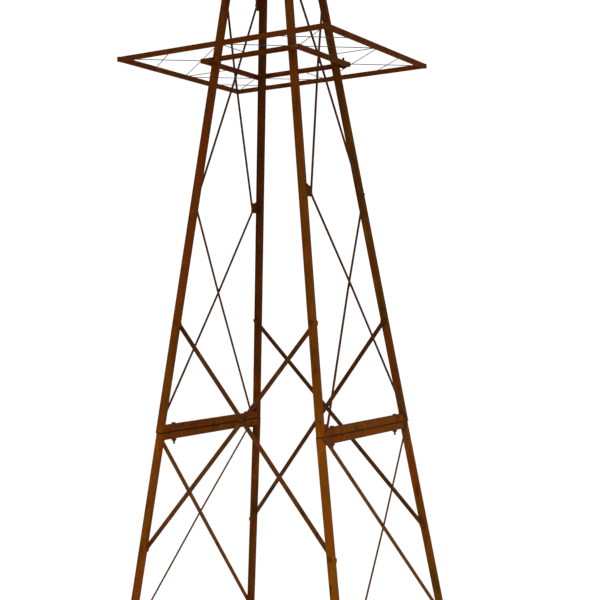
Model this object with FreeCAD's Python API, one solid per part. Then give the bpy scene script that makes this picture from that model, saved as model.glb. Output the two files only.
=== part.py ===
"""Garden obelisk: a tall tapering lattice tower of rusted steel.

Two sections stand one on the other. Each section has two welded side frames, left and right,
made of two square-tube legs with crossed rods or flats welded over their outer faces. The frames
of the lower section carry those of the upper one on doubled rails, drawn together by upright
bolts. Crossed flats are bolted inside the front and the back legs, and tie the side frames to
each other. A square platform frame goes round the legs high up, held out from a small inner ring
by wires.

Millimetres. The origin is on the ground at the centre of the four feet, +Z is up, the front is
-Y, and the side frames are at -X (left) and +X (right).
"""
import FreeCAD, Part
import math
import os

from FreeCAD import Vector

os.makedirs("parts", exist_ok=True)

# Overall sizes
LOWER_HEIGHT = 1180.0        # ground to the joint between the sections
UPPER_HEIGHT = 1680.0        # joint to the underside of the head plate
BASE_SPACING = 808.0         # leg centres on the ground, both ways
JOINT_SPACING_X = 485.0      # upper leg centres at the joint, left to right
JOINT_SPACING_Y = 520.0      # upper leg centres at the joint, front to back
JOINT_STEP = 2.0             # lower legs stand this much inside the upper ones
HEAD_SPACING = 55.0          # leg centres under the head plate, both ways
JOINT_Z = LOWER_HEIGHT
HEAD_Z = LOWER_HEIGHT + UPPER_HEIGHT

# Leg tube and joint rails
LEG_TUBE = 18.0
LEG_WALL = 1.5
RAIL_HEIGHT = 20.0
RAIL_WALL = 1.5

# Levels where the side members reach the inner edges of the legs, from the joint
UPPER_ROD_FEET = (9.0, 0.3393 * UPPER_HEIGHT, 0.6756 * UPPER_HEIGHT)
UPPER_ROD_TOPS = (0.3744 * UPPER_HEIGHT, 0.706 * UPPER_HEIGHT, 0.9583 * UPPER_HEIGHT)
LOWER_FEET = (-0.488 * LOWER_HEIGHT, -0.962 * LOWER_HEIGHT)
LOWER_TOPS = (-9.0, -0.527 * LOWER_HEIGHT)
UPPER_ROD_D = 6.0
LOWER_ROD_D = 5.0
FLAT_WIDTH = 12.0
FLAT_THICKNESS = 3.0
LAP = 11.0                   # rod or flat past the leg's inner edge, along itself
SEAM_GAP = 1.0               # side members stop this far short of the joint

# Crossed flats bolted inside the front and the back legs
RISING_UP = 283.0            # rising flat's upper bolt, above the joint
RISING_DOWN = 316.0          # rising flat's lower bolt, below the joint
FALLING_UP = 292.0
FALLING_DOWN = 300.0
BASE_BRACE_TOP = 520.0       # upper bolts, above the ground
BASE_BRACE_BOTTOM = 98.0     # lower bolts, above the ground
FLAT_END = 9.0               # flat past the bolt's centre
SEAT = 0.15                  # clearance under what lies on a leg's face
CROSS_LAND = 16.0            # half the straight stretch where one flat steps over the other

# Platform
PLATFORM_SIZE = 616.0        # over the outer frame
PLATFORM_RISE = 0.5905 * UPPER_HEIGHT  # joint to the middle of the bars
PLATFORM_TUBE = 12.0
PLATFORM_WALL = 1.5
RING_GAP = 4.5               # packing between the inner ring and the legs
WIRE_D = 2.0
PLATFORM_Z = JOINT_Z + PLATFORM_RISE

# Fasteners, M6
BOLT_D = 6.0
BOLT_CLEARANCE = 0.6         # hole over bolt
BOLT_HOLE = BOLT_D + BOLT_CLEARANCE
HEX_FLATS = BOLT_D / 0.6
BOLT_HEAD = 4.0
NUT_HEIGHT = 5.0
BOLT_TAIL = 4.0              # thread past the nut
JOINT_BOLT_TAIL = 10.0
JOINT_BOLT_INSET = 65.0      # joint bolt to the leg's centre
CLOSING_BOLT_INSET = 17.5    # upright bolt to the corner of the inner ring
CLOSING_BOLT_TAIL = 9.0
SPACER_D = 12.0

# Feet, head plate and finial
FOOT_SIZE = 60.0
FOOT_THICKNESS = 4.0
FOOT_SHIFT = 12.0            # plate's centre outward of the leg's
FOOT_HOLE = 9.0
FOOT_HOLE_OFFSET = 24.0      # anchor hole outward of the leg's centre
HEAD_PLATE = 80.0
HEAD_THICKNESS = 5.0
FINIAL_COLLAR_D = 30.0
FINIAL_COLLAR = 6.0
FINIAL_NECK_D = 14.0
FINIAL_NECK = 18.0
FINIAL_BALL_D = 48.0
FINIAL_TIP = 26.0
FINIAL_TIP_D = 12.0
FINIAL_STUD_D = 10.0

SIDES = {"left": -1, "right": 1}
FACES = {"front": -1, "back": 1}
UP = Vector(0, 0, 1)

# A section runs from (level, half spacing X, half spacing Y) to the same at its top.
LOWER = (
    (0.0, BASE_SPACING / 2, BASE_SPACING / 2),
    (JOINT_Z, JOINT_SPACING_X / 2 - JOINT_STEP, JOINT_SPACING_Y / 2 - JOINT_STEP),
)
UPPER = (
    (JOINT_Z, JOINT_SPACING_X / 2, JOINT_SPACING_Y / 2),
    (HEAD_Z, HEAD_SPACING / 2, HEAD_SPACING / 2),
)


# ---------------------------------------------------------------- geometry of the taper
def half_spacing(section, z):
    """Half the distance between leg centres, along X and along Y, at a level."""
    (z0, x0, y0), (z1, x1, y1) = section
    share = (z - z0) / (z1 - z0)
    return x0 + (x1 - x0) * share, y0 + (y1 - y0) * share


def leg_point(section, sx, sy, z):
    """Point on a leg's centre line."""
    hx, hy = half_spacing(section, z)
    return Vector(sx * hx, sy * hy, z)


def across(direction, level_axis, outward):
    """Unit normal to a member and to a level axis, turned to the outward side."""
    normal = direction.cross(level_axis)
    normal.normalize()
    return normal if normal.dot(outward) > 0 else normal * -1.0


# ---------------------------------------------------------------- stock
def level_prism(p0, p1, size_x, size_y):
    """Straight bar between two levels whose level section is a rectangle."""
    hx, hy = size_x / 2, size_y / 2
    corners = [p0 + Vector(x, y, 0) for x, y in ((-hx, -hy), (hx, -hy), (hx, hy), (-hx, hy))]
    outline = Part.makePolygon(corners + corners[:1])
    return Part.Face(outline).extrude(p1 - p0)


def rod(p0, p1, diameter):
    """Round rod between two points."""
    axis = p1 - p0
    return Part.makeCylinder(diameter / 2, axis.Length, p0, axis)


def strip_outline(p0, p1, normal, width, end):
    """Wire of a flat with rounded ends, in the plane through p0 across the normal."""
    along = (p1 - p0).normalize()
    side = normal.cross(along) * (width / 2)
    reach = along * end
    tip = along * (end + width / 5)
    a, b = p0 - reach + side, p1 + reach + side
    c, d = p1 + reach - side, p0 - reach - side
    edges = [
        Part.LineSegment(a, b).toShape(),
        Part.Arc(b, p1 + tip, c).toShape(),
        Part.LineSegment(c, d).toShape(),
        Part.Arc(d, p0 - tip, a).toShape(),
    ]
    return Part.Wire(edges)


def hexagon(height):
    """Hexagonal prism standing on the origin, for heads and nuts."""
    radius = HEX_FLATS / math.sqrt(3)
    points = []
    for i in range(7):
        angle = math.radians(60 * i)
        points.append(Vector(radius * math.cos(angle), radius * math.sin(angle), 0))
    body = Part.Face(Part.makePolygon(points)).extrude(UP * height)
    crown = Part.makeCone(radius + height, radius - height * 0.1, height * 1.1)
    return body.common(crown)


def stand(shape, origin, axis):
    """Turn a shape's own +Z to an axis and move it to a point."""
    placed = shape.copy()
    placed.Placement = FreeCAD.Placement(origin, FreeCAD.Rotation(UP, axis))
    return placed


def bolt(seat, axis, grip, tail=BOLT_TAIL):
    """Bolt whose head sits at seat, on the axis side; grip is what it clamps."""
    length = grip + NUT_HEIGHT + tail
    shank = Part.makeCylinder(BOLT_D / 2, length, Vector(0, 0, -length))
    return stand(hexagon(BOLT_HEAD).fuse(shank), seat, axis)


def nut(seat, axis):
    """Nut with its bearing face at seat, reaching away from the axis side."""
    body = hexagon(NUT_HEIGHT).cut(Part.makeCylinder(BOLT_D / 2, NUT_HEIGHT))
    return stand(body, seat, axis * -1.0)


def drill(shape, point, axis, reach, diameter=BOLT_HOLE):
    """Cut a round hole centred on a point, through reach each way along an axis."""
    unit = Vector(axis).normalize()
    start = point - unit * reach
    return shape.cut(Part.makeCylinder(diameter / 2, 2 * reach, start, unit))


# ---------------------------------------------------------------- the kit being built
parts = {}
joint_bolts, brace_bolts, ring_bolts, nuts, spacers = [], [], [], [], []
leg_bolt_axes = {}


def leg_name(level, sx, sy):
    side = "left" if sx < 0 else "right"
    face = "front" if sy < 0 else "back"
    return f"{level}_leg_{face}_{side}"


def leg_block(section, sx, sy):
    """A leg's outside as a solid bar, used to fit other pieces to the leg."""
    z0, z1 = section[0][0], section[1][0]
    bottom, top = leg_point(section, sx, sy, z0), leg_point(section, sx, sy, z1)
    return level_prism(bottom, top, LEG_TUBE, LEG_TUBE)


def trim_to_legs(shape, section, sx):
    """Cut a side frame's member back to the faces of its two legs."""
    for sy in FACES.values():
        shape = shape.cut(leg_block(section, sx, sy))
    return shape.Solids[0]


def edge_point(section, sx, sy, z):
    """Point on a side frame's outer face, at the inner edge of a leg."""
    hx, hy = half_spacing(section, z)
    return Vector(sx * (hx + LEG_TUBE / 2), sy * (hy - LEG_TUBE / 2), z)


def side_line(section, sx, sy, z_low, z_high, lift):
    """Ends and outward normal of a member on a side frame's outer face, and where it crosses
    its mirror twin. It runs from one leg low down to the other leg high up, past both edges."""
    low = edge_point(section, sx, sy, z_low)
    high = edge_point(section, sx, -sy, z_high)
    normal = across(high - low, Vector(0, 1, 0), Vector(sx, 0, 0))
    crossing = low + (high - low) * (low.y / (low.y - high.y))
    past = (high - low).normalize() * LAP
    seat = normal * (SEAT + lift)
    return low - past + seat, high + past + seat, crossing + seat, normal


def part_at_seam(shape, section):
    """Cut a side member level, just short of the joint between the sections."""
    reach = BASE_SPACING
    z0 = JOINT_Z + SEAM_GAP if section is UPPER else 0.0
    slab = Part.makeBox(2 * reach, 2 * reach, JOINT_Z * 2, Vector(-reach, -reach, z0))
    if section is LOWER:
        slab = slab.cut(slab.translated(UP * (JOINT_Z - SEAM_GAP)))
    return shape.common(slab).Solids[0]


def side_rod(section, sx, sy, z_low, z_high, diameter, spring):
    """Rod over a side frame's outer face, sprung outward by spring where it crosses another."""
    low, high, crossing, normal = side_line(section, sx, sy, z_low, z_high, diameter / 2)
    bow = crossing + normal * spring
    path = Part.makePolygon([low, bow, high])
    outline = Part.Wire(Part.makeCircle(diameter / 2, low, bow - low))
    body = path.makePipeShell([outline], True, False, 1)
    return part_at_seam(trim_to_legs(body, section, sx), section)


def under(low, high, normal):
    """Block that fills the frame's plane below a line, to cut off what passes under it."""
    deep = UP * -UPPER_HEIGHT
    outline = Part.makePolygon([low, high, high + deep, low + deep, low])
    face = Part.Face(outline)
    face.translate(normal * -LEG_TUBE)
    return face.extrude(normal * (2 * LEG_TUBE))


def side_flat(section, sx, sy, z_low, z_high):
    """Flat bar over a side frame's outer face."""
    low, high, _, normal = side_line(section, sx, sy, z_low, z_high, 0.0)
    outline = strip_outline(low, high, normal, FLAT_WIDTH, 0.0)
    return part_at_seam(Part.Face(outline).extrude(normal * FLAT_THICKNESS), section)


def side_frames(sx, side):
    """The crossed members of both sections on one side."""
    for face, sy in FACES.items():
        for n, (foot, top) in enumerate(zip(UPPER_ROD_FEET, UPPER_ROD_TOPS)):
            body = side_rod(
                UPPER, sx, sy, JOINT_Z + foot, JOINT_Z + top, UPPER_ROD_D, sy * UPPER_ROD_D / 2
            )
            parts[f"upper_rod_{side}_{face}_{n + 1}"] = body
    # Each rod of a higher panel stands on the rod below, which ends on the same leg.
    for n in range(2, len(UPPER_ROD_FEET) + 1):
        for face, sy in FACES.items():
            below_face = "back" if face == "front" else "front"
            name = f"upper_rod_{side}_{face}_{n}"
            z_foot, z_top = JOINT_Z + UPPER_ROD_FEET[n - 2], JOINT_Z + UPPER_ROD_TOPS[n - 2]
            low, high, _, normal = side_line(UPPER, sx, -sy, z_foot, z_top, 0.0)
            body = parts[name].cut(under(low, high, normal))
            body = body.cut(parts[f"upper_rod_{side}_{below_face}_{n - 1}"])
            parts[name] = max(body.Solids, key=lambda solid: solid.Volume)
    for n, (foot, top) in enumerate(zip(LOWER_FEET, LOWER_TOPS)):
        z_low, z_high = JOINT_Z + foot, JOINT_Z + top
        spring = FLAT_THICKNESS + SEAT
        parts[f"lower_flat_{side}_{n + 1}"] = side_flat(LOWER, sx, 1, z_low, z_high)
        parts[f"lower_rod_{side}_{n + 1}"] = side_rod(
            LOWER, sx, -1, z_low, z_high, LOWER_ROD_D, spring
        )


def joint_rail(section, sx, z0, z1):
    """Hollow rail of a side frame at the joint, leaning with the frame."""
    hx0, hy = half_spacing(section, z0)
    hx1 = half_spacing(section, z1)[0]
    bottom, top = Vector(sx * hx0, 0, z0), Vector(sx * hx1, 0, z1)
    outer = level_prism(bottom, top, LEG_TUBE, 2 * hy)
    lean = (top - bottom) * (RAIL_WALL / RAIL_HEIGHT)
    bore = level_prism(bottom + lean, top - lean, LEG_TUBE - 2 * RAIL_WALL, 2 * hy)
    return trim_to_legs(outer.cut(bore), section, sx)


def joint_rails(sx, side):
    """The doubled rails of one side, with the two bolts that clamp them."""
    lower = joint_rail(LOWER, sx, JOINT_Z - RAIL_HEIGHT, JOINT_Z)
    upper = joint_rail(UPPER, sx, JOINT_Z, JOINT_Z + RAIL_HEIGHT)
    bolt_x = sx * (JOINT_SPACING_X - JOINT_STEP) / 2
    for sy in FACES.values():
        bolt_y = sy * (JOINT_SPACING_Y / 2 - JOINT_BOLT_INSET)
        middle = Vector(bolt_x, bolt_y, JOINT_Z)
        lower = drill(lower, middle, UP, 2 * RAIL_HEIGHT)
        upper = drill(upper, middle, UP, 2 * RAIL_HEIGHT)
        head_seat = middle + UP * RAIL_HEIGHT
        joint_bolts.append(bolt(head_seat, UP, 2 * RAIL_HEIGHT, JOINT_BOLT_TAIL))
        nuts.append(nut(middle - UP * RAIL_HEIGHT, UP))
    parts[f"lower_joint_rail_{side}"] = lower
    parts[f"upper_joint_rail_{side}"] = upper


def stepped_flat(p0, p1, crossing, normal, lift):
    """Bolted flat with rounded ends, stepping up by lift where it crosses another."""
    along = (p1 - p0).normalize()
    side = normal.cross(along)
    reach = along * (FLAT_END + FLAT_WIDTH)
    land = along * CROSS_LAND
    step = normal * lift
    base = [p0 - reach, p0 + reach, crossing - land + step]
    base += [crossing + land + step, p1 - reach, p1 + reach]
    profile = base + [point + normal * FLAT_THICKNESS for point in reversed(base)]
    profile = [point - side * (FLAT_WIDTH / 2) for point in profile]
    ribbon = Part.Face(Part.makePolygon(profile + profile[:1])).extrude(side * FLAT_WIDTH)
    outline = strip_outline(p0, p1, normal, FLAT_WIDTH, FLAT_END)
    outline.translate(normal * -lift)
    body = ribbon.common(Part.Face(outline).extrude(normal * (FLAT_THICKNESS + 3 * lift + 1)))
    for point in (p0, crossing, p1):
        body = drill(body, point, normal, 4 * FLAT_THICKNESS)
    return body.Solids[0]


def leg_bolt(seat, normal, leg):
    """Bolt square through a leg and the flat inside it, head out; seat is under the flat."""
    head_seat = seat - normal * (LEG_TUBE * abs(normal.y) + 2 * SEAT)
    nut_seat = seat + normal * FLAT_THICKNESS
    brace_bolts.append(bolt(head_seat, normal * -1.0, (nut_seat - head_seat).Length))
    nuts.append(nut(nut_seat, normal * -1.0))
    leg_bolt_axes.setdefault(leg, []).append((seat - normal * (LEG_TUBE / 2), normal))


def crossed_flats(name, sy, rising, falling):
    """A pair of flats bolted leg to leg inside a face, each given as (low, high), where both
    are (section, level, z). The rising one runs up from left to right and steps over."""
    inward = Vector(0, -sy * LEG_TUBE / 2, 0)
    lines = []
    for sx, (low, high) in ((-1, rising), (1, falling)):
        p0 = leg_point(low[0], sx, sy, low[2]) + inward
        p1 = leg_point(high[0], -sx, sy, high[2]) + inward
        normal = across(p1 - p0, Vector(1, 0, 0), inward)
        lines.append((p0 + normal * SEAT, p1 + normal * SEAT, normal))
    (a0, a1, _), (b0, b1, _) = lines
    # Both flats as z over x, to find where they cross.
    a_slope = (a1.z - a0.z) / (a1.x - a0.x)
    b_slope = (b1.z - b0.z) / (b1.x - b0.x)
    x = (b0.z - a0.z + a_slope * a0.x - b_slope * b0.x) / (a_slope - b_slope)
    step = FLAT_THICKNESS + SEAT
    labels = (("rising", -1, rising, step), ("falling", 1, falling, 0.0))
    for (label, sx, (low, high), lift), (p0, p1, normal) in zip(labels, lines):
        crossing = p0 + (p1 - p0) * ((x - p0.x) / (p1.x - p0.x))
        body = stepped_flat(p0, p1, crossing, normal, lift)
        for leg in (leg_block(low[0], sx, sy), leg_block(high[0], -sx, sy)):
            body = body.cut(leg)
        parts[f"{name}_{label}"] = body.Solids[0]
        leg_bolt(p0, normal, leg_name(low[1], sx, sy))
        leg_bolt(p1, normal, leg_name(high[1], -sx, sy))
    pair = step + FLAT_THICKNESS
    brace_bolts.append(bolt(crossing, normal * -1.0, pair))
    nuts.append(nut(crossing + normal * pair, normal * -1.0))


def square_frame(prefix, half, tube, wall, z):
    """Four mitred tubes round a square; half is measured to the outer faces."""
    inner = half - tube
    for name, turn in (("front", 0), ("right", 90), ("back", 180), ("left", 270)):
        body = None
        for inset in (0.0, wall):
            far, near = half - inset, inner + inset
            level = z - tube / 2 + inset
            points = [
                Vector(-far, -far, level),
                Vector(far, -far, level),
                Vector(near, -near, level),
                Vector(-near, -near, level),
            ]
            block = Part.Face(Part.makePolygon(points + points[:1])).extrude(
                UP * (tube - 2 * inset)
            )
            body = block if body is None else body.cut(block)
        body.rotate(Vector(0, 0, 0), UP, turn)
        parts[f"{prefix}_{name}"] = body


def ring_fixings(ring_half):
    """Bolts, packing and nuts that hold the inner ring's front and back bars to the legs."""
    hx, hy = half_spacing(UPPER, PLATFORM_Z)
    leg_face = hy + LEG_TUBE / 2
    inner_edge = half_spacing(UPPER, PLATFORM_Z + HEX_FLATS / math.sqrt(3))[1] - LEG_TUBE / 2
    for sx in SIDES.values():
        for face, sy in FACES.items():
            axis = Vector(0, sy, 0)
            seat = Vector(sx * hx, sy * ring_half, PLATFORM_Z)
            nut_seat = Vector(sx * hx, sy * inner_edge, PLATFORM_Z)
            ring_bolts.append(bolt(seat, axis, ring_half - inner_edge))
            nuts.append(nut(nut_seat, axis))
            parts[f"ring_{face}"] = drill(
                parts[f"ring_{face}"], seat, axis, 2 * PLATFORM_TUBE
            )
            middle = Vector(sx * hx, sy * hy, PLATFORM_Z)
            leg_bolt_axes.setdefault(leg_name("upper", sx, sy), []).append((middle, axis))
            start = Vector(sx * hx, sy * (leg_face - LEG_TUBE / 4), PLATFORM_Z)
            length = ring_half - PLATFORM_TUBE - leg_face + LEG_TUBE / 4
            packing = Part.makeCylinder(SPACER_D / 2, length, start, axis)
            packing = packing.cut(leg_block(UPPER, sx, sy))
            spacers.append(drill(packing, start, axis, 2 * length))


def ring_closing_bolt(ring_half):
    """Upright bolt that closes the inner ring at its back right corner."""
    bar_middle = ring_half - PLATFORM_TUBE / 2
    seat = Vector(ring_half - CLOSING_BOLT_INSET, bar_middle, PLATFORM_Z - PLATFORM_TUBE / 2)
    down = UP * -1.0
    ring_bolts.append(bolt(seat, down, PLATFORM_TUBE, CLOSING_BOLT_TAIL))
    nuts.append(nut(seat + UP * PLATFORM_TUBE, down))
    parts["ring_back"] = drill(parts["ring_back"], seat, UP, 2 * PLATFORM_TUBE)


def platform_wires(outer_inner, ring_half):
    """Straight wires that hold the outer frame off the ring: per corner one along the
    diagonal and two across it, and one at the middle of each side."""
    wires = []
    clear = Part.makeBox(
        2 * outer_inner,
        2 * outer_inner,
        4 * WIRE_D,
        Vector(-outer_inner, -outer_inner, PLATFORM_Z - 2 * WIRE_D),
    )
    diagonal_z = PLATFORM_Z + WIRE_D / 2
    cross_z = PLATFORM_Z - WIRE_D / 2
    # The inner crossing wire clears the ring's corner and the ends of the middle wires.
    at_ring = max(2 * ring_half + WIRE_D / math.sqrt(2), outer_inner + 1.5 * WIRE_D)
    near_corner = (at_ring + 2 * outer_inner) / 2
    for sx in SIDES.values():
        for sy in FACES.values():
            corner = Vector(sx * outer_inner, sy * outer_inner, diagonal_z)
            ring_corner = Vector(sx * ring_half, sy * ring_half, diagonal_z)
            wires.append(rod(ring_corner, corner, WIRE_D).common(clear))
            for reach in (at_ring, near_corner):
                start = Vector(sx * reach, 0, cross_z)
                end = Vector(0, sy * reach, cross_z)
                wires.append(rod(start, end, WIRE_D).common(clear))
    for direction in (Vector(1, 0, 0), Vector(0, 1, 0), Vector(-1, 0, 0), Vector(0, -1, 0)):
        start = direction * ring_half + UP * PLATFORM_Z
        end = direction * outer_inner + UP * PLATFORM_Z
        wires.append(rod(start, end, WIRE_D))
    return wires


def platform():
    """Outer frame, inner ring round the legs, their fixings and the wires between them."""
    hx, hy = half_spacing(UPPER, PLATFORM_Z - PLATFORM_TUBE / 2)
    past_packing = hy + LEG_TUBE / 2 + RING_GAP
    past_rods = hx + LEG_TUBE / 2 + 1.5 * UPPER_ROD_D + 2 * SEAT
    ring_half = max(past_packing, past_rods) + PLATFORM_TUBE
    outer_half = PLATFORM_SIZE / 2
    square_frame("platform", outer_half, PLATFORM_TUBE, PLATFORM_WALL, PLATFORM_Z)
    square_frame("ring", ring_half, PLATFORM_TUBE, PLATFORM_WALL, PLATFORM_Z)
    ring_fixings(ring_half)
    ring_closing_bolt(ring_half)
    parts["platform_wires"] = Part.Compound(
        platform_wires(outer_half - PLATFORM_TUBE, ring_half)
    )


def hollow_leg(section, level, sx, sy, z_bottom):
    """Square tube leg cut level at both ends, drilled where bolts cross it."""
    bottom = leg_point(section, sx, sy, z_bottom)
    top = leg_point(section, sx, sy, section[1][0])
    bore = LEG_TUBE - 2 * LEG_WALL
    body = level_prism(bottom, top, LEG_TUBE, LEG_TUBE).cut(level_prism(bottom, top, bore, bore))
    for middle, axis in leg_bolt_axes.get(leg_name(level, sx, sy), []):
        body = drill(body, middle, axis, LEG_TUBE)
    return body


def foot_plate(sx, sy):
    """Square plate under a leg with one anchor hole outside the leg."""
    leg = leg_point(LOWER, sx, sy, 0.0)
    centre = leg + Vector(sx * FOOT_SHIFT, sy * FOOT_SHIFT, 0)
    half = Vector(FOOT_SIZE / 2, FOOT_SIZE / 2, 0)
    plate = Part.makeBox(FOOT_SIZE, FOOT_SIZE, FOOT_THICKNESS, centre - half)
    upright = [edge for edge in plate.Edges if abs(edge.tangentAt(0).z) > 0.9]
    plate = plate.makeFillet(FOOT_THICKNESS, upright)
    hole = leg + Vector(sx * FOOT_HOLE_OFFSET, sy * FOOT_HOLE_OFFSET, 0)
    return drill(plate, hole, UP, 2 * FOOT_THICKNESS, FOOT_HOLE)


def head_plate():
    """Plate that closes the four legs at the top, drilled for the finial's stud."""
    half = HEAD_PLATE / 2
    plate = Part.makeBox(HEAD_PLATE, HEAD_PLATE, HEAD_THICKNESS, Vector(-half, -half, HEAD_Z))
    return drill(plate, Vector(0, 0, HEAD_Z), UP, 2 * HEAD_THICKNESS, FINIAL_STUD_D)


def finial():
    """Turned ball finial: stud, collar, neck, ball and a short point, in one piece."""
    base = HEAD_Z + HEAD_THICKNESS
    ball_z = base + FINIAL_COLLAR + FINIAL_NECK + FINIAL_BALL_D / 2
    tip_base = ball_z + math.sqrt(FINIAL_BALL_D ** 2 - FINIAL_TIP_D ** 2) / 2
    stud = Part.makeCylinder(FINIAL_STUD_D / 2, HEAD_THICKNESS, Vector(0, 0, HEAD_Z))
    collar = Part.makeCylinder(FINIAL_COLLAR_D / 2, FINIAL_COLLAR, Vector(0, 0, base))
    neck_height = ball_z - base - FINIAL_COLLAR
    neck = Part.makeCylinder(
        FINIAL_NECK_D / 2, neck_height, Vector(0, 0, base + FINIAL_COLLAR)
    )
    ball = Part.makeSphere(FINIAL_BALL_D / 2, Vector(0, 0, ball_z))
    point = Part.makeCone(FINIAL_TIP_D / 2, 0.5, FINIAL_TIP, Vector(0, 0, tip_base))
    return stud.fuse([collar, neck, ball, point]).removeSplitter()


def build():
    """Make every piece, then write one STEP file each."""
    for side, sx in SIDES.items():
        side_frames(sx, side)
        joint_rails(sx, side)
    for face, sy in FACES.items():
        crossed_flats(
            f"joint_brace_{face}",
            sy,
            ((LOWER, "lower", JOINT_Z - RISING_DOWN), (UPPER, "upper", JOINT_Z + RISING_UP)),
            ((LOWER, "lower", JOINT_Z - FALLING_DOWN), (UPPER, "upper", JOINT_Z + FALLING_UP)),
        )
        base_flat = ((LOWER, "lower", BASE_BRACE_BOTTOM), (LOWER, "lower", BASE_BRACE_TOP))
        crossed_flats(f"base_brace_{face}", sy, base_flat, base_flat)
    platform()
    for side, sx in SIDES.items():
        for face, sy in FACES.items():
            parts[leg_name("lower", sx, sy)] = hollow_leg(LOWER, "lower", sx, sy, FOOT_THICKNESS)
            parts[leg_name("upper", sx, sy)] = hollow_leg(UPPER, "upper", sx, sy, JOINT_Z)
            parts[f"foot_plate_{face}_{side}"] = foot_plate(sx, sy)
    parts["head_plate"] = head_plate()
    parts["finial"] = finial()
    parts["joint_bolts"] = Part.Compound(joint_bolts)
    parts["brace_bolts"] = Part.Compound(brace_bolts)
    parts["ring_bolts"] = Part.Compound(ring_bolts)
    parts["ring_spacers"] = Part.Compound(spacers)
    parts["nuts"] = Part.Compound(nuts)
    for name, shape in parts.items():
        shape.exportStep(f"parts/{name}.step")


build()
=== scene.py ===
"""Looks for the garden obelisk: rusted mild steel tube, flat, rod and wire, welded and bolted.

The tubes, bars and plates come from the model as they are, with rounded mill edges and rust.
The marks of the shop are added: rippled weld beads round the welded ends of bars, tacks where
rods cross and wires end, and hexagon nuts and bolts with a cut thread. Metres, +Z up, front
at -Y.
"""

import math
import random

import bmesh
import bpy
import numpy as np
from mathutils import Matrix, Vector


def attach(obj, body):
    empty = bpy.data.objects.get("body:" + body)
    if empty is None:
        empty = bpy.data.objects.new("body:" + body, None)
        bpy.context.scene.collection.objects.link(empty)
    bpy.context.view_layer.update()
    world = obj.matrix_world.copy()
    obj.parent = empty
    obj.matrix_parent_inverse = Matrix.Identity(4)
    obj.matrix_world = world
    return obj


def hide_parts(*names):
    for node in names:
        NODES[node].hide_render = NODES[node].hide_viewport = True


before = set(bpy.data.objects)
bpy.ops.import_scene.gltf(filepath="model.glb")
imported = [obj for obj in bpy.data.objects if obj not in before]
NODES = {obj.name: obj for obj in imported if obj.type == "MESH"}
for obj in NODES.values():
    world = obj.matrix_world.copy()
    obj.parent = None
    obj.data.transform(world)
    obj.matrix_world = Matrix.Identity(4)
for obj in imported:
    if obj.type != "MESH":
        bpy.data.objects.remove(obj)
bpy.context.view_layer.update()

MM = 0.001

# Corners of the model within a hundredth of a millimetre are one point
GRID_PER_METRE = 1e5
# A crossing this near to an end, as a share of the bar, is a joint and not a crossing
END_SHARE = 0.02

# Welds: radius of the bead round each kind of joint, the ripple the moving arc leaves, tacks
# where rods or wires cross, and webs that fill the crook between a rod and a leg's edge
ROD_BEAD = 1.4 * MM
FLAT_BEAD = 1.6 * MM
RAIL_BEAD = 1.8 * MM
MITRE_BEAD = 0.9 * MM
PLATE_BEAD = 2.2 * MM
RIPPLE = 2.4 * MM
RIPPLE_RINGS = 4
BEAD_SIDES = 7
ROD_TACK = 3.8 * MM
WIRE_TACK = 1.7 * MM
CROSSING_REACH = 12.0 * MM
WIRE_REACH = 4.0 * MM
WEB_STEP = 2.7 * MM
WEB_BEAD = 2.1 * MM
END_WEB = 26.0 * MM
FOOT_WEB = 24.0 * MM

# Stock the welds run along
ROD_RADIUS = {"upper": 3.0 * MM, "lower": 2.5 * MM}
FLAT_HALF = 6.0 * MM
FLAT_HALF_THICKNESS = 1.5 * MM
LEG_HALF = 9.0 * MM
LAP = 11.0 * MM
LAP_OVERRUN = 3.0 * MM
UPWARDS = np.array([0.0, 0.0, 1.0])

# The upper section stands on the lower one at the underside of its rails
JOINT_HEIGHT = min(corner.co.z for corner in NODES["upper_joint_rail_left"].data.vertices)

# How far back from its tip the end cut of each kind of bar reaches
LAPPED_END = 5.0 * MM
RAIL_END = 6.0 * MM
MITRED_END = 16.0 * MM
LEG_END = 3.0 * MM
BOLT_END = 2.0 * MM

# Fasteners, M6
HEX_FLATS = 10.0 * MM
HEAD_HEIGHT = 4.0 * MM
SHANK_RADIUS = 3.0 * MM
THREAD_PITCH = 1.0 * MM
THREAD_DEPTH = 0.5 * MM
THREAD_LENGTH = 14.0 * MM
THREAD_ROWS = 6
TURNED_SIDES = 24
TURNED_CORNER = 0.7 * MM

# Rounded edges left by the mill
TUBE_EDGE = 1.3 * MM
RAIL_EDGE = 1.6 * MM
FLAT_EDGE = 0.4 * MM

# Dark things held by the crust: mill scale and the rust in pits; and painted shade, a dark line in
# the seam at the joint
MILL_SCALE = "#20140A"
PIT_RUST = "#1C0A01"
SEAM_SHADE = "#1E0C02"


# ---------------------------------------------------------------- colour and shader nodes
def linear(hex_colour):
    """sRGB hex to the linear colour that a shader takes."""
    channels = [int(hex_colour[i:i + 2], 16) / 255 for i in (1, 3, 5)]
    return [c / 12.92 if c <= 0.04045 else ((c + 0.055) / 1.055) ** 2.4 for c in channels] + [1.0]


def add(tree, kind, inputs=None, out=0, stops=(), **settings):
    """Add a node with its settings and links, and return one of its outputs."""
    node = tree.nodes.new("ShaderNode" + kind)
    for name, value in settings.items():
        setattr(node, name, value)
    for socket, value in (inputs or {}).items():
        if isinstance(value, bpy.types.NodeSocket):
            tree.links.new(value, node.inputs[socket])
        else:
            node.inputs[socket].default_value = value
    for index, (position, colour) in enumerate(stops):
        if index >= len(node.color_ramp.elements):
            node.color_ramp.elements.new(position)
        node.color_ramp.elements[index].position = position
        node.color_ramp.elements[index].color = linear(colour)
    return node.outputs[out] if len(node.outputs) else node


def per_metre(size_mm):
    """Texture scale whose pattern repeats about once in this many millimetres."""
    return 1.0 / (size_mm * MM)


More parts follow.
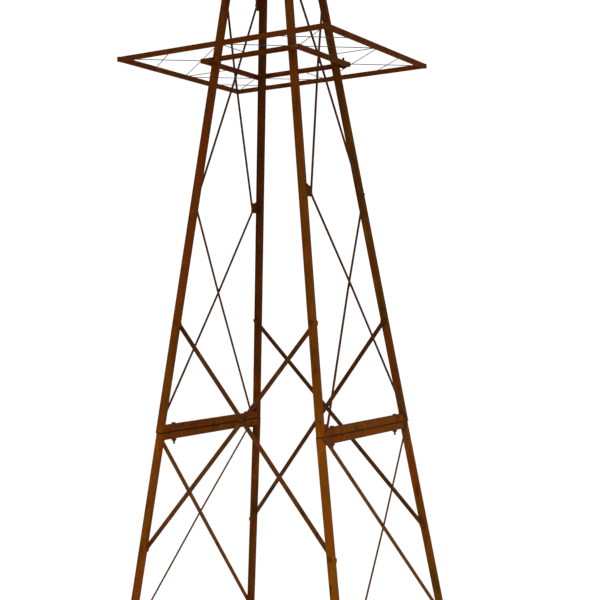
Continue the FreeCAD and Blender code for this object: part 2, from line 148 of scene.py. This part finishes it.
# ---------------------------------------------------------------- materials
def rusted_steel(name, damp, crust, dust, patch_mm=38.0, grit_mm=1.6, pit_mm=5.0, rough=0.85,
                 relief_mm=0.22, scale_left=0.35, drawn=0.4, streaks=0.55, mottle=1.0,
                 seam_shade_height=None):
    """Mild steel left outdoors: brown oxide crust, matt and gritty, over the mill's finish.

    damp, crust and dust are the dark, middle and powdery tones. scale_left is how much blue-black
    mill scale is left: it stays darker and smoother than the crust round it. drawn is 1 where
    rain doesn't draw the patches down, and less where it does. streaks is how strong its runs
    are, and mottle how strong red oxide and algae show. A dark line of painted shade is laid
    along the seam between the sections, at the height given.
    """
    material = bpy.data.materials.new(name)
    material.use_nodes = True
    tree = material.node_tree
    tree.nodes.clear()
    place = add(tree, "TexCoord", out="Object")

    # Rain draws the rust down, so patches stand taller than wide and runs are long and thin.
    tall = add(tree, "Mapping", {"Vector": place, "Scale": (1.0, 1.0, drawn)})
    running = add(tree, "Mapping", {"Vector": place, "Scale": (1.0, 1.0, 0.045)})
    patches = add(
        tree, "TexNoise",
        {"Vector": tall, "Scale": per_metre(patch_mm), "Detail": 7.0, "Roughness": 0.62},
    )
    runs = add(
        tree, "TexNoise",
        {"Vector": running, "Scale": per_metre(3.5), "Detail": 3.0, "Roughness": 0.5},
    )
    grit = add(
        tree, "TexNoise",
        {"Vector": place, "Scale": per_metre(grit_mm), "Detail": 4.0, "Roughness": 0.75},
    )
    pits = add(
        tree, "TexVoronoi", {"Vector": place, "Scale": per_metre(pit_mm), "Randomness": 1.0},
        out="Distance",
    )
    flakes = add(
        tree, "TexNoise",
        {"Vector": tall, "Scale": per_metre(patch_mm * 0.45), "Detail": 5.0, "Roughness": 0.5,
         "Distortion": 1.4},
    )
    lichen = add(
        tree, "TexNoise",
        {"Vector": tall, "Scale": per_metre(patch_mm * 1.6), "Detail": 3.0, "Roughness": 0.55,
         "Distortion": 0.6},
    )

    # Tone of the crust: patches, broken by the runs and by the grit of the oxide.
    even = add(tree, "Math", {0: runs, 1: 0.5}, operation="SUBTRACT")
    centred = add(tree, "Math", {0: patches, 1: 0.275}, operation="ADD")
    with_runs = add(tree, "Math", {0: even, 1: streaks, 2: centred}, operation="MULTIPLY_ADD")
    with_grit = add(tree, "Math", {0: grit, 1: 0.45, 2: with_runs}, operation="MULTIPLY_ADD")
    tone = add(
        tree, "MapRange", {"Value": with_grit, "From Min": 0.76, "From Max": 1.26}
    )
    brown = add(
        tree, "ValToRGB", {"Fac": tone},
        stops=((0.0, damp), (0.4, crust), (0.65, crust), (1.0, dust)),
    )

    # Fresh red oxide in some places, an olive bloom of algae in others.
    red = add(
        tree, "MapRange", {"Value": lichen, "From Min": 0.54, "From Max": 0.66, "To Max": mottle}
    )
    olive = add(
        tree, "MapRange", {"Value": lichen, "From Min": 0.46, "From Max": 0.34, "To Max": mottle}
    )
    fresh = add(
        tree, "Mix", {0: 1.0, 6: brown, 7: (1.22, 0.84, 0.7, 1.0)},
        out=2, data_type="RGBA", blend_type="MULTIPLY",
    )
    redder = add(tree, "Mix", {0: red, 6: brown, 7: fresh}, out=2, data_type="RGBA")
    greener = add(
        tree, "Mix", {0: 1.0, 6: redder, 7: (0.88, 1.18, 1.3, 1.0)},
        out=2, data_type="RGBA", blend_type="MULTIPLY",
    )
    bloomed = add(tree, "Mix", {0: olive, 6: redder, 7: greener}, out=2, data_type="RGBA")

    # Painted shade by height: the rust is painted darkest high up and lighter towards the bottom,
    # with a step at the joint between the sections, for light that falls off towards the top.
    height = add(tree, "SeparateXYZ", {"Vector": place}, out="Z")
    level = add(tree, "MapRange", {"Value": height, "From Min": 2.5, "From Max": 0.7})
    height_shade = add(
        tree, "ValToRGB", {"Fac": level},
        stops=((0.0, "#B8B0AC"), (0.28, "#C5C0BC"), (0.68, "#E0DDDB"), (0.76, "#F9F8F7"),
               (1.0, "#FFFFFF")),
    )
    shaded_by_height = add(
        tree, "Mix", {0: 1.0, 6: bloomed, 7: height_shade},
        out=2, data_type="RGBA", blend_type="MULTIPLY",
    )

    # What is left of the mill scale, in islands with sharp edges.
    island = add(
        tree, "MapRange",
        {"Value": flakes, "From Min": 0.46 - 0.3 * scale_left, "From Max": 0.42 - 0.3 * scale_left},
    )
    thin = add(tree, "Math", {0: island, 1: 0.6}, operation="MULTIPLY")
    with_scale = add(
        tree, "Mix", {0: thin, 6: shaded_by_height, 7: linear(MILL_SCALE)}, out=2, data_type="RGBA"
    )

    # Pits hold the darkest rust.
    pit_dark = add(
        tree, "MapRange", {"Value": pits, "From Min": 0.30, "From Max": 0.12, "To Max": 0.5}
    )
    colour = add(
        tree, "Mix", {0: pit_dark, 6: with_scale, 7: linear(PIT_RUST)}, out=2, data_type="RGBA"
    )

    # Painted shade: a dark line along the seam where the upper section stands on the lower one.
    if seam_shade_height is not None:
        above = add(tree, "Math", {0: height, 1: seam_shade_height}, operation="SUBTRACT")
        away = add(tree, "Math", {0: above}, operation="ABSOLUTE")
        seam_shade = add(
            tree, "MapRange",
            {"Value": away, "From Min": 2.2 * MM, "From Max": 1.0 * MM, "To Max": 0.85},
        )
        colour = add(
            tree, "Mix", {0: seam_shade, 6: colour, 7: linear(SEAM_SHADE)}, out=2, data_type="RGBA"
        )

    matt = add(
        tree, "MapRange",
        {"Value": tone, "To Min": rough - 0.1, "To Max": min(rough + 0.1, 0.97)},
    )
    roughness = add(
        tree, "Math", {0: island, 1: -0.2, 2: matt}, operation="MULTIPLY_ADD", use_clamp=True
    )

    # Relief: the gritty crust, the pits eaten into it and the step at the edge of the scale.
    gritty = add(
        tree, "Bump", {"Strength": 0.55, "Distance": relief_mm * MM, "Height": grit}
    )
    pitted = add(
        tree, "Bump",
        {"Strength": 0.5, "Distance": 1.6 * relief_mm * MM, "Height": pits, "Normal": gritty},
    )
    relief = add(
        tree, "Bump",
        {"Strength": 0.4, "Distance": relief_mm * MM, "Height": island, "Normal": pitted},
        invert=True,
    )
    # Powdery oxide scatters nearly all its light, so the sheen of the air side is next to none.
    surface = add(
        tree, "BsdfPrincipled",
        {"Base Color": colour, "Roughness": roughness, "Normal": relief,
         "Specular IOR Level": 0.02},
    )
    add(tree, "OutputMaterial", {"Surface": surface})
    return material


def rusted_tube(where, damp, crust, dust):
    """Welded mild steel tube left bare: a thick brown crust, with painted shade in the seam at the
    joint.
    """
    return rusted_steel("rusted_tube_" + where, damp, crust, dust, seam_shade_height=JOINT_HEIGHT)


def rusted_rail(side, damp, crust, dust):
    """The same tube laid level: rain lies on it, so its patches are broad, even and not drawn."""
    return rusted_steel(
        f"rusted_tube_{side}_rails", damp, crust, dust, patch_mm=60, drawn=1.0, streaks=0.12,
        scale_left=0.1, mottle=0.3, seam_shade_height=JOINT_HEIGHT,
    )


def rusted_flat(where, damp, crust, dust):
    """Hot-rolled flat bar: smaller patches, a greyer brown than the tube."""
    return rusted_steel("rusted_flat_" + where, damp, crust, dust, patch_mm=26)


def rusted_bead(side, damp, crust, dust):
    """Weld metal, bare and fine-grained: a thin crust, smoother than the tube beside it."""
    return rusted_steel(
        "rusted_weld_" + side, damp, crust, dust, patch_mm=10, grit_mm=0.8, pit_mm=2.0,
        relief_mm=0.1, rough=0.72,
    )


def pale_floor():
    """Matt painted studio floor, off-white, with the faint unevenness of roller paint."""
    material = bpy.data.materials.new("pale_roller_paint")
    material.use_nodes = True
    tree = material.node_tree
    tree.nodes.clear()
    place = add(tree, "TexCoord", out="Object")
    stipple = add(
        tree, "TexNoise", {"Vector": place, "Scale": per_metre(6.0), "Detail": 3.0}
    )
    cloud = add(tree, "TexNoise", {"Vector": place, "Scale": per_metre(900.0), "Detail": 2.0})
    colour = add(
        tree, "ValToRGB", {"Fac": cloud}, stops=((0.3, "#F8F7F5"), (0.7, "#FCFBFA"))
    )
    relief = add(tree, "Bump", {"Strength": 0.1, "Distance": 0.2 * MM, "Height": stipple})
    surface = add(
        tree, "BsdfPrincipled", {"Base Color": colour, "Roughness": 0.7, "Normal": relief}
    )
    add(tree, "OutputMaterial", {"Surface": surface})
    return material


# ---------------------------------------------------------------- reading the model's pieces
def solid_points(node):
    """Corner points of each separate solid of a node, as arrays."""
    mesh = NODES[node].data
    corners = np.array([v.co for v in mesh.vertices], float)
    keys = {}
    index = [
        keys.setdefault(tuple(np.round(c * GRID_PER_METRE).astype(int)), len(keys))
        for c in corners
    ]
    parent = list(range(len(keys)))

    def root(i):
        while parent[i] != i:
            parent[i] = parent[parent[i]]
            i = parent[i]
        return i

    for polygon in mesh.polygons:
        first = root(index[polygon.vertices[0]])
        for vertex in polygon.vertices[1:]:
            parent[root(index[vertex])] = first
    groups = {}
    for key, i in keys.items():
        groups.setdefault(root(i), []).append(np.array(key) / GRID_PER_METRE)
    return [np.array(points) for points in groups.values()]


def long_axis(points):
    """Centre and direction of the longest way through points, and how far along it each lies."""
    centre = (points.min(0) + points.max(0)) / 2
    direction = np.linalg.svd(points - points.mean(0), full_matrices=False)[2][0]
    along = (points - centre) @ direction
    return centre, direction, along


def hull_loop(points):
    """Outer loop of nearly flat points, in order round their middle."""
    middle = points.mean(0)
    basis = np.linalg.svd(points - middle, full_matrices=False)[2]
    flat = (points - middle) @ basis[:2].T
    order = sorted(range(len(flat)), key=lambda i: (round(flat[i][0], 7), round(flat[i][1], 7)))

    def half(sequence):
        chain = []
        for i in sequence:
            while len(chain) > 1:
                a, b = flat[chain[-2]], flat[chain[-1]]
                turn = (b[0] - a[0]) * (flat[i][1] - a[1]) - (b[1] - a[1]) * (flat[i][0] - a[0])
                if turn > 1e-12:
                    break
                chain.pop()
            chain.append(i)
        return chain[:-1]

    loop = half(order) + half(order[::-1])
    return points[loop]


def end_groups(points, reach):
    """The points of both ends of a bar; reach is how far its end cut slopes."""
    _, _, along = long_axis(points)
    return points[along < along.min() + reach], points[along > along.max() - reach]


def end_loops(points, reach):
    """The loops round both ends of a straight bar."""
    return [hull_loop(group) for group in end_groups(points, reach)]


def middle_line(points):
    """Both end points of a straight bar's middle line."""
    _, _, along = long_axis(points)
    return points[along < 0].mean(0), points[along > 0].mean(0)


def nearest_points(line_a, line_b):
    """Closest points of two straight lines given by their ends, and whether within both."""
    (a0, a1), (b0, b1) = line_a, line_b
    u, v, w = a1 - a0, b1 - b0, a0 - b0
    uu, uv, vv, uw, vw = u @ u, u @ v, v @ v, u @ w, v @ w
    under = uu * vv - uv * uv
    if under < 1e-12:
        return a0, b0, False
    s, t = (uv * vw - vv * uw) / under, (uu * vw - uv * uw) / under
    within = all(END_SHARE < share < 1 - END_SHARE for share in (s, t))
    return a0 + s * u, b0 + t * v, within


def unit(vector):
    """The same direction with a length of one."""
    return vector / np.linalg.norm(vector)


def standing_on(base, direction):
    """Placement whose Z runs from a base point along a direction."""
    turn = Vector(direction).to_track_quat("Z", "Y").to_matrix().to_4x4()
    return Matrix.Translation(Vector(base)) @ turn


# ---------------------------------------------------------------- making pieces
def finish_piece(name, mesh_builder, material, smooth=True):
    """Turn a bmesh into a piece that rides on the tower."""
    mesh = bpy.data.meshes.new(name)
    bmesh.ops.recalc_face_normals(mesh_builder, faces=mesh_builder.faces)
    mesh_builder.to_mesh(mesh)
    mesh_builder.free()
    mesh.materials.append(material)
    for polygon in mesh.polygons:
        polygon.use_smooth = smooth
    piece = bpy.data.objects.new(name, mesh)
    bpy.context.scene.collection.objects.link(piece)
    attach(piece, "root")
    return piece


def join_rings(work, near, far):
    """Skin between two rings of a bead. They may start at different angles, so far is turned."""
    def gap(shift):
        return sum((near[k].co - far[(k + shift) % BEAD_SIDES].co).length for k in (0, 3))

    shift = min(range(BEAD_SIDES), key=gap)
    for k in range(BEAD_SIDES):
        after = (k + 1) % BEAD_SIDES
        work.faces.new(
            (near[k], near[after], far[(after + shift) % BEAD_SIDES], far[(k + shift) % BEAD_SIDES])
        )


def weld_bead(work, loop, radius, rng):
    """Closed rippled bead laid along a loop of points."""
    closed = np.vstack([loop, loop[:1]])
    steps = np.linalg.norm(np.diff(closed, axis=0), axis=1)
    total = steps.sum()
    ripples = max(6, round(total / RIPPLE))
    count = ripples * RIPPLE_RINGS
    marks = np.concatenate([[0.0], np.cumsum(steps)])
    path = np.array(
        [[np.interp(total * i / count, marks, closed[:, k]) for k in range(3)]
         for i in range(count)]
    )
    path = (path + (np.roll(path, 1, 0) + np.roll(path, -1, 0)) / 2) / 2
    rings = []
    swell = [rng.uniform(0.88, 1.14) for _ in range(ripples)]
    for i in range(count):
        forward = Vector(path[(i + 1) % count] - path[i - 1]).normalized()
        side = forward.orthogonal().normalized()
        up = forward.cross(side)
        crest = 0.84 + 0.24 * abs(math.sin(math.pi * (i % RIPPLE_RINGS) / RIPPLE_RINGS))
        size = radius * crest * swell[(i // RIPPLE_RINGS) % ripples]
        ring = []
        for k in range(BEAD_SIDES):
            angle = 2 * math.pi * k / BEAD_SIDES
            outwards = math.cos(angle) * side + math.sin(angle) * up
            ring.append(work.verts.new(Vector(path[i]) + size * outwards))
        rings.append(ring)
    for i in range(count):
        join_rings(work, rings[i], rings[(i + 1) % count])


def ball_template(subdivisions):
    """Corners and faces of a round ball, to be copied for each tack."""
    ball = bmesh.new()
    bmesh.ops.create_icosphere(ball, subdivisions=subdivisions, radius=1.0)
    ball.verts.index_update()
    corners = np.array([vert.co for vert in ball.verts])
    faces = [[vert.index for vert in face.verts] for face in ball.faces]
    ball.free()
    return corners, faces


FINE_BALL = ball_template(2)
COARSE_BALL = ball_template(1)


def tack(work, centre, radius, rng, along=None, stretch=1.0, ball=FINE_BALL):
    """Small lumpy tack weld, drawn out along a direction."""
    corners, faces = ball
    x, y, z = corners.T
    phases = [rng.uniform(0, 6.28) for _ in range(3)]
    lump = 1.0 + 0.10 * np.sin(5 * x + phases[0]) + 0.08 * np.sin(6 * y + phases[1])
    lump += 0.07 * np.sin(7 * z + phases[2])
    shape = corners * (radius * lump)[:, None] * np.array([1.0, 1.0, stretch])
    if along is not None:
        shape = shape @ np.array(Vector(along).to_track_quat("Z", "Y").to_matrix()).T
    verts = [work.verts.new(corner) for corner in shape + np.asarray(centre)]
    for face in faces:
        work.faces.new([verts[i] for i in face])


def hex_radius(angle, flats):
    """Distance from the middle of a hexagon to its edge at an angle."""
    sector = (angle + math.pi / 6) % (math.pi / 3) - math.pi / 6
    return flats / 2 / math.cos(sector)


def stack_rings(work, rings, place):
    """Skin a stack of (height, radius function) rings and close both ends."""
    made = []
    for height, radius in rings:
        ring = []
        for k in range(TURNED_SIDES):
            angle = 2 * math.pi * k / TURNED_SIDES + math.pi / 6
            r = radius(angle)
            ring.append(
                work.verts.new(place @ Vector((r * math.cos(angle), r * math.sin(angle), height)))
            )
        made.append(ring)
    for near, far in zip(made, made[1:]):
        for k in range(TURNED_SIDES):
            after = (k + 1) % TURNED_SIDES
            work.faces.new((near[k], near[after], far[after], far[k]))
    work.faces.new(made[0])
    work.faces.new(made[-1])


def hex_block(height, both_ends):
    """Rings of a hexagon head or nut whose corners are turned down at its ends."""
    def turned(angle):
        return min(hex_radius(angle, HEX_FLATS), HEX_FLATS / 2 * 0.97)

    def full(angle):
        return hex_radius(angle, HEX_FLATS)

    first = [(0.0, turned), (TURNED_CORNER, full)] if both_ends else [(0.0, full)]
    return first + [(height - TURNED_CORNER, full), (height, turned)]


def threaded_shank(length):
    """Rings of a shank whose last stretch is cut with a thread, from the tip upwards."""
    rows = int(THREAD_LENGTH / THREAD_PITCH * THREAD_ROWS)
    rings = [(-length, lambda angle: SHANK_RADIUS - THREAD_DEPTH)]
    for row in range(1, rows):
        z = -length + THREAD_LENGTH * row / rows

        def thread(angle, z=z):
            phase = (z / THREAD_PITCH - angle / (2 * math.pi)) % 1.0
            return SHANK_RADIUS - THREAD_DEPTH * abs(2 * phase - 1)

        rings.append((z, thread))
    rings.append((-length + THREAD_LENGTH, lambda angle: SHANK_RADIUS))
    rings.append((0.0, lambda angle: SHANK_RADIUS))
    return rings


def hex_bolts(node, material):
    """Hexagon bolts with a turned head and a cut thread, where the model's bolts are."""
    work = bmesh.new()
    for points in solid_points(node):
        centre, direction, along = long_axis(points)
        spread = np.linalg.norm((points - centre) - np.outer(along, direction), axis=1)
        # The head is the wider end.
        high_end = spread[along > along.max() - BOLT_END].max()
        low_end = spread[along < along.min() + BOLT_END].max()
        if high_end <= low_end:
            direction, along = -direction, -along
        seat = centre + direction * (along.max() - HEAD_HEIGHT)
        length = along.max() - along.min() - HEAD_HEIGHT
        place = standing_on(seat, direction)
        stack_rings(work, hex_block(HEAD_HEIGHT, False), place)
        stack_rings(work, threaded_shank(length), place)
    piece = finish_piece("threaded_" + node, work, material, smooth=False)
    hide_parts(node)
    return piece


def hex_nuts(material):
    """Hexagon nuts with both ends turned down, where the model's nuts are."""
    work = bmesh.new()
    for points in solid_points("nuts"):
        centre = points.mean(0)
        normal = np.linalg.svd(points - centre, full_matrices=False)[2][2]
        along = (points - centre) @ normal
        height = along.max() - along.min()
        place = standing_on(centre + normal * along.min(), normal)
        stack_rings(work, hex_block(height, True), place)
    piece = finish_piece("turned_nuts", work, material, smooth=False)
    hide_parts("nuts")
    return piece


def member_nodes(*words):
    """The model's nodes whose names hold all these words."""
    return sorted(name for name in NODES if all(word in name for word in words))


def lap_weld(work, tip, inward, outward, half_width, half_height, bead, rng):
    """Bead along both sides and round the end of a bar that lies on a leg's face."""
    side = unit(np.cross(outward, inward))
    down = -outward * half_height * 0.8
    length = LAP + LAP_OVERRUN
    near = [tip + inward * length * s + side * half_width + down for s in (1.0, 0.66, 0.33, 0.04)]
    far = [tip + inward * length * s - side * half_width + down for s in (0.04, 0.33, 0.66, 1.0)]
    nose = tip - inward * bead * 0.4 + down
    weld_bead(work, np.array(near + [nose] + far), bead, rng)


def crook_web(work, start, inward, leg, reach, rng):
    """Weld metal run into the narrow gap between a leg's inner edge and a rod beside it."""
    low, high = sorted(middle_line(solid_points(leg)[0]), key=lambda point: point[2])
    for step in range(round(reach / WEB_STEP)):
        at_rod = start + inward * step * WEB_STEP
        edge = low + (high - low) * (at_rod[2] - low[2]) / (high[2] - low[2])
        edge[0] += np.sign(edge[0]) * (LEG_HALF - WEB_BEAD / 2)
        edge[1] -= np.sign(edge[1]) * LEG_HALF
        count = max(1, math.ceil(abs(edge[1] - at_rod[1]) / WEB_STEP))
        for k in range(count + 1):
            place = edge + (at_rod - edge) * k / count
            tack(work, place, WEB_BEAD, rng, ball=COARSE_BALL)


def side_frame_welds(side, material):
    """Welds of one side frame: laps of rods and flats, rail ends, and tacks where rods cross."""
    rng = random.Random(11 if side == "left" else 12)
    work = bmesh.new()
    sign = -1.0 if side == "left" else 1.0
    lines = []
    for name in member_nodes("_rod_", side) + member_nodes("lower_flat", side):
        points = solid_points(name)[0]
        is_flat = "flat" in name
        tips = [group.mean(0) for group in end_groups(points, LAPPED_END)]
        lines.append(tips)
        for tip, other in ((tips[0], tips[1]), (tips[1], tips[0])):
            inward = unit(other - tip)
            outward = unit(np.array([sign, 0.0, 0.0]) - sign * inward[0] * inward)
            if is_flat:
                lap_weld(
                    work, tip, inward, outward, FLAT_HALF, FLAT_HALF_THICKNESS, FLAT_BEAD, rng
                )
                continue
            section = name.split("_")[0]
            radius = ROD_RADIUS[section]
            face = "front" if tip[1] < 0 else "back"
            leg = f"{section}_leg_{face}_{side}"
            # The feet of the upper section's second and third rods stand on the rod below, with
            # no room for a lap, so a tack takes its place.
            if section == "upper" and not name.endswith("_1") and tip[2] < other[2]:
                tack(work, tip, ROD_TACK, rng, along=inward, stretch=1.3)
                crook_web(work, tip, inward, leg, FOOT_WEB, rng)
                continue
            lap_weld(work, tip, inward, outward, radius, radius, ROD_BEAD, rng)
            crook_web(work, tip + inward * LAP, inward, leg, END_WEB, rng)
    for i, line_a in enumerate(lines):
        for line_b in lines[i + 1:]:
            a, b, crosses = nearest_points(line_a, line_b)
            if crosses and np.linalg.norm(a - b) < CROSSING_REACH:
                tack(work, (a + b) / 2, ROD_TACK, rng, along=UPWARDS, stretch=1.3)
    for name in member_nodes("joint_rail", side):
        for loop in end_loops(solid_points(name)[0], RAIL_END):
            weld_bead(work, loop, RAIL_BEAD, rng)
    return finish_piece(f"frame_welds_{side}", work, material)


def platform_welds(material):
    """Beads over the mitres of both square frames, and tacks where the wires end and cross."""
    rng = random.Random(21)
    work = bmesh.new()
    for prefix in ("platform", "ring"):
        for face in ("front", "back"):
            for points in solid_points(f"{prefix}_{face}"):
                for loop in end_loops(points, MITRED_END):
                    weld_bead(work, loop, MITRE_BEAD, rng)
    lines = [middle_line(points) for points in solid_points("platform_wires")]
    for i, line_a in enumerate(lines):
        for end in line_a:
            tack(work, end, WIRE_TACK, rng)
        for line_b in lines[i + 1:]:
            a, b, crosses = nearest_points(line_a, line_b)
            if crosses and np.linalg.norm(a - b) < WIRE_REACH:
                tack(work, (a + b) / 2, WIRE_TACK, rng)
    return finish_piece("platform_welds", work, material)


def plate_welds(material):
    """Beads round the legs where they stand on the foot plates and meet the head plate."""
    rng = random.Random(31)
    work = bmesh.new()

    def level(loop):
        return loop[:, 2].mean()

    for name in member_nodes("lower_leg"):
        foot = min(end_loops(solid_points(name)[0], LEG_END), key=level)
        weld_bead(work, foot, PLATE_BEAD, rng)
    for name in member_nodes("upper_leg"):
        head = max(end_loops(solid_points(name)[0], LEG_END), key=level)
        weld_bead(work, head, PLATE_BEAD, rng)
    return finish_piece("plate_welds", work, material)


def round_edges(name, width):
    """Rounded edges left by the mill on a bar that keeps the model's shape."""
    bar = NODES[name]
    join = bar.modifiers.new("joined_faces", "WELD")
    join.merge_threshold = 0.02 * MM
    edge = bar.modifiers.new("mill_edge", "BEVEL")
    edge.width = width
    edge.segments = 3
    edge.limit_method = "ANGLE"
    edge.angle_limit = math.radians(40)
    edge.harden_normals = False
    for polygon in bar.data.polygons:
        polygon.use_smooth = False


def clad(names, material, edge=None):
    """Give the model's nodes their material, and round their edges if asked."""
    for name in names:
        bar = NODES[name]
        bar.data.materials.clear()
        bar.data.materials.append(material)
        if edge:
            round_edges(name, edge)


# ---------------------------------------------------------------- the tower
def dress_tower():
    """Materials for each kind of stock, and the welds and fasteners."""
    # Lit and shaded copies of each rust: pieces at the front and the right are painted lighter, and
    # at the back and the left darker, as painted light and shade.
    front_left = rusted_tube("front_left", "#441D02", "#693204", "#7F4209")
    front_right = rusted_tube("front_right", "#441F02", "#6B3905", "#814909")
    back_left = rusted_tube("back_left", "#301401", "#4F2503", "#683808")
    back_right = rusted_tube("back_right", "#3B1C02", "#5C3104", "#734409")
    left_rail = rusted_rail("left", "#3C1A02", "#5C2C03", "#6E3B06")
    right_rail = rusted_rail("right", "#451F02", "#643404", "#764406")
    front_flat = rusted_flat("front", "#301704", "#502C0F", "#6A4019")
    back_flat = rusted_flat("back", "#281408", "#44270F", "#5A3820")
    side_flat = rusted_flat("side", "#38200A", "#5E3410", "#78481E")
    left_bead = rusted_bead("left", "#3A1802", "#5C2B04", "#743C06")
    right_bead = rusted_bead("right", "#461E02", "#6A3405", "#804608")

    # Thin tube mitred into the platform: an even crust, with no painted seam shade in it.
    frame_tube = rusted_steel("rusted_tube_platform", "#3E1B02", "#653004", "#814308")
    # Drawn rod, so its crust is thin and its relief low.
    rod = rusted_steel("rusted_drawn_rod", "#331D10", "#50301B", "#6A472F", patch_mm=22,
                       relief_mm=0.12)
    # Hard-drawn wire: dull grey-brown steel with a film of rust.
    wire = rusted_steel("dull_spring_wire", "#3A322B", "#5A5047", "#7A6E62", patch_mm=14,
                        relief_mm=0.05, scale_left=0.1, rough=0.6)
    # Plate cut from hot-rolled sheet, with the same crust as the tube.
    plate = rusted_steel("rusted_cut_plate", "#3C1C02", "#5E3004", "#7E480A")
    # Forged bolts and nuts: a fine, thin crust that is smoother than the bars'.
    bolts = rusted_steel("rusted_hex_fasteners", "#3A1A03", "#5A2C05", "#70400C", patch_mm=9,
                         grit_mm=0.9, pit_mm=2.5, relief_mm=0.1, rough=0.7)
    # Finial turned from iron bar, with patches small enough to show on its ball.
    turned = rusted_steel("rusted_turned_iron", "#3A1A02", "#5A2C04", "#7A4408", patch_mm=24)

    clad(member_nodes("_leg_front_left"), front_left, TUBE_EDGE)
    clad(member_nodes("_leg_front_right"), front_right, TUBE_EDGE)
    clad(member_nodes("_leg_back_left"), back_left, TUBE_EDGE)
    clad(member_nodes("_leg_back_right"), back_right, TUBE_EDGE)
    clad(member_nodes("joint_rail_left"), left_rail, RAIL_EDGE)
    clad(member_nodes("joint_rail_right"), right_rail, RAIL_EDGE)
    for square in ("platform", "ring"):
        sides = [f"{square}_{face}" for face in ("front", "back", "left", "right")]
        clad(sides, frame_tube, TUBE_EDGE)
    clad(member_nodes("_brace_front"), front_flat, FLAT_EDGE)
    clad(member_nodes("_brace_back"), back_flat, FLAT_EDGE)
    clad(member_nodes("lower_flat"), side_flat, FLAT_EDGE)
    clad(member_nodes("_rod_"), rod)
    clad(["platform_wires"], wire)
    clad(member_nodes("foot_plate") + ["head_plate"], plate, FLAT_EDGE)
    clad(["finial"], turned)
    clad(["ring_spacers"], bolts)

    for node in ("joint_bolts", "brace_bolts", "ring_bolts"):
        hex_bolts(node, bolts)
    hex_nuts(bolts)
    side_frame_welds("left", left_bead)
    side_frame_welds("right", right_bead)
    platform_welds(left_bead)
    plate_welds(left_bead)


# ---------------------------------------------------------------- the studio
def studio():
    """Pale floor and even, pale light from a bright room and three large soft panels."""
    mesh = bpy.data.meshes.new("studio_floor")
    reach = 30.0
    mesh.from_pydata(
        [(-reach, -reach, 0), (reach, -reach, 0), (reach, reach, 0), (-reach, reach, 0)],
        [], [(0, 1, 2, 3)],
    )
    mesh.materials.append(pale_floor())
    floor = bpy.data.objects.new("studio_floor", mesh)
    bpy.context.scene.collection.objects.link(floor)

    world = bpy.data.worlds.new("pale_room")
    world.use_nodes = True
    background = world.node_tree.nodes["Background"]
    background.inputs["Color"].default_value = (1.0, 1.0, 1.0, 1.0)
    background.inputs["Strength"].default_value = 1.08
    bpy.context.scene.world = world

    for name, place, size, power in (
        ("key_panel", (3.2, -4.2, 2.6), 2.4, 40.0),
        ("fill_panel", (-4.0, -2.6, 2.2), 2.4, 20.0),
        ("back_panel", (0.5, 4.5, 3.2), 2.4, 15.0),
    ):
        panel = bpy.data.lights.new(name, "AREA")
        panel.shape = "SQUARE"
        panel.size = size
        panel.energy = power
        lamp = bpy.data.objects.new(name, panel)
        lamp.location = place
        towards = Vector((0.0, 0.0, 1.4)) - Vector(place)
        lamp.rotation_euler = towards.to_track_quat("-Z", "Y").to_euler()
        bpy.context.scene.collection.objects.link(lamp)


def camera():
    """View of the tower's middle from the front right, aimed a little downwards."""
    lens = bpy.data.cameras.new("camera")
    lens.sensor_width = 36.0
    lens.lens = 74.87
    lens.shift_x = 0.123
    lens.shift_y = 0.171
    lens.clip_end = 100.0
    body = bpy.data.objects.new("camera", lens)
    aim = Matrix.Rotation(math.radians(31.53), 4, "Z")
    tilt = Matrix.Rotation(math.radians(90 - 3.72), 4, "X")
    roll = Matrix.Rotation(math.radians(-1.58), 4, "Z")
    body.matrix_world = Matrix.Translation((1.662, -3.019, 1.475)) @ aim @ tilt @ roll
    bpy.context.scene.collection.objects.link(body)
    bpy.context.scene.camera = body


dress_tower()
studio()
camera()
bpy.context.scene.view_settings.view_transform = "Standard"
